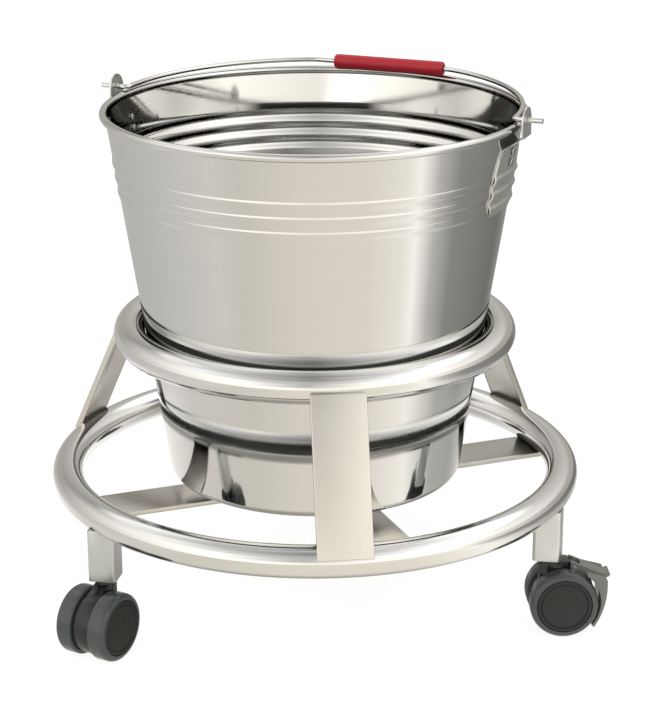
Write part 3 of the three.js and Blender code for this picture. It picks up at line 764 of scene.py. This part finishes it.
studio = {"floor": 12.0, "around": 0.65, "glow": 0.9, "paint": 0.2,
          # the floor as the steel sees it, by direction from the pail: pale, warm in front, dim behind
          "far": ((-180, "#c4c2be"), (-145, "#d2cec8"), (-130, "#ccc8be"), (-100, "#dad4c8"),
                  (-60, "#e0dace"), (-40, "#ece8de"), (-32, "#fdfaf4"), (-20, "#b8b6b0"), (-5, "#8a8986"),
                  (45, "#6e6d6a"), (105, "#a8a6a4")),
          "near": ((-180, "#d0ccc6"), (-130, "#ccc8be"), (-100, "#dad4c8"), (-60, "#e0dace"),
                   (-30, "#f8f4ec"), (-5, "#b0aea9"), (20, "#a4a29e"), (90, "#f4f2ee"), (160, "#e0dcd6")),
          "close": (0.42, 0.55), "floorUp": 1.3,
          "shade": (0.15, 0.24), "dim": 0.5,   # painted shadow on the floor under the pail, seen only in the steel
          # the room above it, by height, and its light and dark sides, low down, high up and overhead
          "room": ((0.0, "#fcf6eb"), (0.26, "#fdf9f1"), (0.7, "#fbf9f5"), (0.8, "#f4f3f1"),
                   (0.94, "#bebdbb")),
          "low": ((-180, "#cecece"), (-130, "#f6f6f6"), (-90, "#dedede"), (-40, "#f4f4f4"), (-8, "#cccccc"),
                  (30, "#949494"), (130, "#919191")),
          "high": ((-180, "#dcdcdc"), (-135, "#f2f2f2"), (-95, "#a4a4a4"), (-60, "#e8e8e8"),
                   (-30, "#ffffff"), (0, "#e1e1e1"), (60, "#b3b3b3"), (125, "#858585"), (165, "#cacaca")),
          "over": ((-180, "#e2e2e2"), (-90, "#a2a2a2"), (-20, "#f4f4f4"), (45, "#ffffff"), (110, "#e8e8e8"),
                   (165, "#cecece")),
          "rise": (0.2, 0.34), "top": (0.58, 0.7), "bright": 1.7,
          # painted shade: steel seen in steel is darkened by way of two faces in a low belt behind, and by
          # way of three, or of four and more, except where they look up
          "second": 0.04, "belt": 0.25, "beltEdge": (0.12, 0.18), "behind": (0.1, 0.45),
          "third": 0.06, "thirdUp": (0.66, 0.8), "fourth": 0.14, "fourthUp": (0.4, 0.6),
          # a low strip of lamps far off in front
          "strip": (-0.36, -0.93, 1.36), "stripFlat": (1, 1, 14), "stripEdge": (0.12, 0.32), "stripUp": 1.1}


def fillRamp(node, stops):
    ramp = node.color_ramp
    while len(ramp.elements) < len(stops):
        ramp.elements.new(1.0)
    for element, (position, code) in zip(ramp.elements, stops):
        element.position = position
        element.color = tint(code)


def roundAbout(tree, coords, stops):
    # colour by direction about the upright axis, -90 in front; the last stop runs round to the first
    apart = addNode(tree, "ShaderNodeSeparateXYZ", {"Vector": coords})
    turn = addNode(tree, "ShaderNodeMath", {0: apart.outputs["Y"], 1: apart.outputs["X"]},
                   operation="ARCTAN2")
    part = addNode(tree, "ShaderNodeMapRange",
                   {"Value": turn.outputs["Value"], "From Min": -math.pi, "From Max": math.pi})
    sweep = addNode(tree, "ShaderNodeValToRGB", {"Fac": part.outputs["Result"]})
    fillRamp(sweep, [((a + 180) / 360, code) for a, code in stops + ((180, stops[0][1]),)])
    return sweep.outputs["Color"]


def paintedDeepShade(tree, path, second, third, fourth):
    # painted shade: the share of the glow kept for a view by way of two polished faces, of three, and of
    # four or more
    fade = fourth
    for limit, share in ((3.5, third), (2.5, second), (1.5, 1.0)):
        fewer = addNode(tree, "ShaderNodeMath", {0: path.outputs["Glossy Depth"], 1: limit},
                        operation="LESS_THAN")
        mixed = addNode(tree, "ShaderNodeMix", {"Factor": fewer.outputs["Value"], "A": fade, "B": share})
        fade = mixed.outputs["Result"]
    return fade


def floorSeenInSteel(tree, path):
    spot = addNode(tree, "ShaderNodeTexCoord").outputs["Object"]
    reach = addNode(tree, "ShaderNodeVectorMath", {0: spot}, operation="LENGTH").outputs["Value"]
    start, end = studio["close"]
    away = addNode(tree, "ShaderNodeMapRange", {"Value": reach, "From Min": start, "From Max": end})
    sweep = addNode(tree, "ShaderNodeMix",
                    {"Factor": away.outputs["Result"], "A": roundAbout(tree, spot, studio["near"]),
                     "B": roundAbout(tree, spot, studio["far"])}, data_type="RGBA")
    # painted shadow: the floor as the steel sees it is dimmer under the pail
    start, end = studio["shade"]
    paintedShadow = addNode(tree, "ShaderNodeMapRange",
                  {"Value": reach, "From Min": start, "From Max": end,
                   "To Min": studio["dim"] * studio["floorUp"], "To Max": studio["floorUp"]},
                  interpolation_type="SMOOTHSTEP")
    # painted shade on the floor seen by way of three or four polished faces
    fade = paintedDeepShade(tree, path, 1.0, studio["third"], studio["fourth"])
    level = addNode(tree, "ShaderNodeMath", {0: paintedShadow.outputs["Result"], 1: fade}, operation="MULTIPLY")
    glow = addNode(tree, "ShaderNodeEmission",
                   {"Color": sweep.outputs["Result"], "Strength": level.outputs["Value"]})
    return glow.outputs["Emission"]


def makeFloor():
    clearSelection()
    bpy.ops.mesh.primitive_plane_add(size=studio["floor"], location=(0, 0, 0))
    floor = bpy.context.object
    floor.name = "floor"
    look = bpy.data.materials.new("white_floor")
    look.use_nodes = True
    look.cycles.emission_sampling = "NONE"
    tree = look.node_tree
    tree.nodes.clear()
    paint = addNode(tree, "ShaderNodeBsdfDiffuse", {"Color": [studio["paint"]] * 3 + [1]})
    glow = addNode(tree, "ShaderNodeEmission", {"Color": (1, 1, 1, 1), "Strength": studio["glow"]})
    plain = addNode(tree, "ShaderNodeAddShader", {0: paint.outputs["BSDF"], 1: glow.outputs["Emission"]})
    path = addNode(tree, "ShaderNodeLightPath")
    both = addNode(tree, "ShaderNodeMixShader",
                   {"Fac": path.outputs["Is Glossy Ray"], 1: plain.outputs["Shader"],
                    2: floorSeenInSteel(tree, path)})
    addNode(tree, "ShaderNodeOutputMaterial", {"Surface": both.outputs["Shader"]})
    floor.data.materials.append(look)


def roomColour(tree, way, height):
    # tone by height, times the light and dark sides of the three levels
    room = addNode(tree, "ShaderNodeValToRGB", {"Fac": height})
    fillRamp(room, studio["room"])
    sides = roundAbout(tree, way, studio["low"])
    for (start, end), stops in ((studio["rise"], studio["high"]), (studio["top"], studio["over"])):
        share = addNode(tree, "ShaderNodeMapRange", {"Value": height, "From Min": start, "From Max": end},
                        interpolation_type="SMOOTHSTEP")
        mixed = addNode(tree, "ShaderNodeMix",
                        {"Factor": share.outputs["Result"], "A": sides, "B": roundAbout(tree, way, stops)},
                        data_type="RGBA")
        sides = mixed.outputs["Result"]
    return addNode(tree, "ShaderNodeMix", {"Factor": 1.0, "A": room.outputs["Color"], "B": sides},
                   data_type="RGBA", blend_type="MULTIPLY").outputs["Result"]


def lampStrip(tree, way):
    flat = addNode(tree, "ShaderNodeVectorMath", {0: way, 1: studio["stripFlat"]}, operation="MULTIPLY")
    off = addNode(tree, "ShaderNodeVectorMath", {0: flat.outputs["Vector"], 1: studio["strip"]},
                  operation="DISTANCE")
    start, end = studio["stripEdge"]
    return addNode(tree, "ShaderNodeMapRange",
                   {"Value": off.outputs["Value"], "From Min": start, "From Max": end,
                    "To Min": studio["stripUp"], "To Max": 0.0},
                   interpolation_type="SMOOTHSTEP").outputs["Result"]


# painted shade on the room seen by way of two, three, or four and more polished faces
def paintedRoomShade(tree, path, back, height):
    fromBelt = addNode(tree, "ShaderNodeMath", {0: height, 1: studio["belt"]}, operation="SUBTRACT")
    offBelt = addNode(tree, "ShaderNodeMath", {0: fromBelt.outputs["Value"]}, operation="ABSOLUTE")
    start, end = studio["beltEdge"]
    belt = addNode(tree, "ShaderNodeMapRange",
                   {"Value": offBelt.outputs["Value"], "From Min": start, "From Max": end,
                    "To Min": studio["second"]})
    start, end = studio["behind"]
    behind = addNode(tree, "ShaderNodeMapRange", {"Value": back, "From Min": start, "From Max": end})
    second = addNode(tree, "ShaderNodeMix",
                     {"Factor": behind.outputs["Result"], "A": 1.0, "B": belt.outputs["Result"]})
    start, end = studio["thirdUp"]
    third = addNode(tree, "ShaderNodeMapRange",
                    {"Value": height, "From Min": start, "From Max": end, "To Min": studio["third"]})
    start, end = studio["fourthUp"]
    fourth = addNode(tree, "ShaderNodeMapRange",
                     {"Value": height, "From Min": start, "From Max": end, "To Min": studio["fourth"]})
    return paintedDeepShade(tree, path, *(node.outputs["Result"] for node in (second, third, fourth)))


def makeWorld():
    # plain white for all but the steel, which sees the room
    world = bpy.data.worlds.new("studio")
    bpy.context.scene.world = world
    world.use_nodes = True
    world.cycles.sampling_method = "NONE"
    tree = world.node_tree
    tree.nodes.clear()
    path = addNode(tree, "ShaderNodeLightPath")
    way = addNode(tree, "ShaderNodeTexCoord").outputs["Generated"]
    apart = addNode(tree, "ShaderNodeSeparateXYZ", {"Vector": way})
    back, height = apart.outputs["Y"], apart.outputs["Z"]
    bright = addNode(tree, "ShaderNodeMath", {0: lampStrip(tree, way), 1: studio["bright"]}, operation="ADD")
    power = addNode(tree, "ShaderNodeMath",
                    {0: bright.outputs["Value"], 1: paintedRoomShade(tree, path, back, height)},
                    operation="MULTIPLY")
    seen = addNode(tree, "ShaderNodeBackground",
                   {"Color": roomColour(tree, way, height), "Strength": power.outputs["Value"]})
    white = addNode(tree, "ShaderNodeMapRange",
                    {"Value": path.outputs["Is Camera Ray"], "To Min": studio["around"]})
    plain = addNode(tree, "ShaderNodeBackground",
                    {"Color": (1, 1, 1, 1), "Strength": white.outputs["Result"]})
    both = addNode(tree, "ShaderNodeMixShader",
                   {"Fac": path.outputs["Is Glossy Ray"], 1: plain.outputs["Background"],
                    2: seen.outputs["Background"]})
    addNode(tree, "ShaderNodeOutputWorld", {"Surface": both.outputs["Shader"]})


# one broad soft light; the steel shows the room instead of the lamp
sun = {"at": (0, 0, 2), "turn": (32, -14, 0), "energy": 1.4, "angle": 50}


def addSun():
    clearSelection()
    bpy.ops.object.light_add(type="SUN", location=sun["at"], rotation=[deg(a) for a in sun["turn"]])
    lamp = bpy.context.object
    lamp.data.energy = sun["energy"]
    lamp.data.angle = deg(sun["angle"])
    lamp.visible_glossy = False


view = {"lens": 110.0, "sensor": 36, "at": (0, -1.6807, 0.7639), "turn": (71.38, 0, -0.44)}


def makeCamera():
    clearSelection()
    bpy.ops.object.camera_add(location=view["at"], rotation=[deg(a) for a in view["turn"]])
    camera = bpy.context.object
    camera.data.lens = view["lens"]
    camera.data.sensor_width = view["sensor"]
    bpy.context.scene.camera = camera


makeFloor()
makeWorld()
addSun()
makeCamera()
bpy.context.scene.view_settings.view_transform = "Standard"
print("studio set")
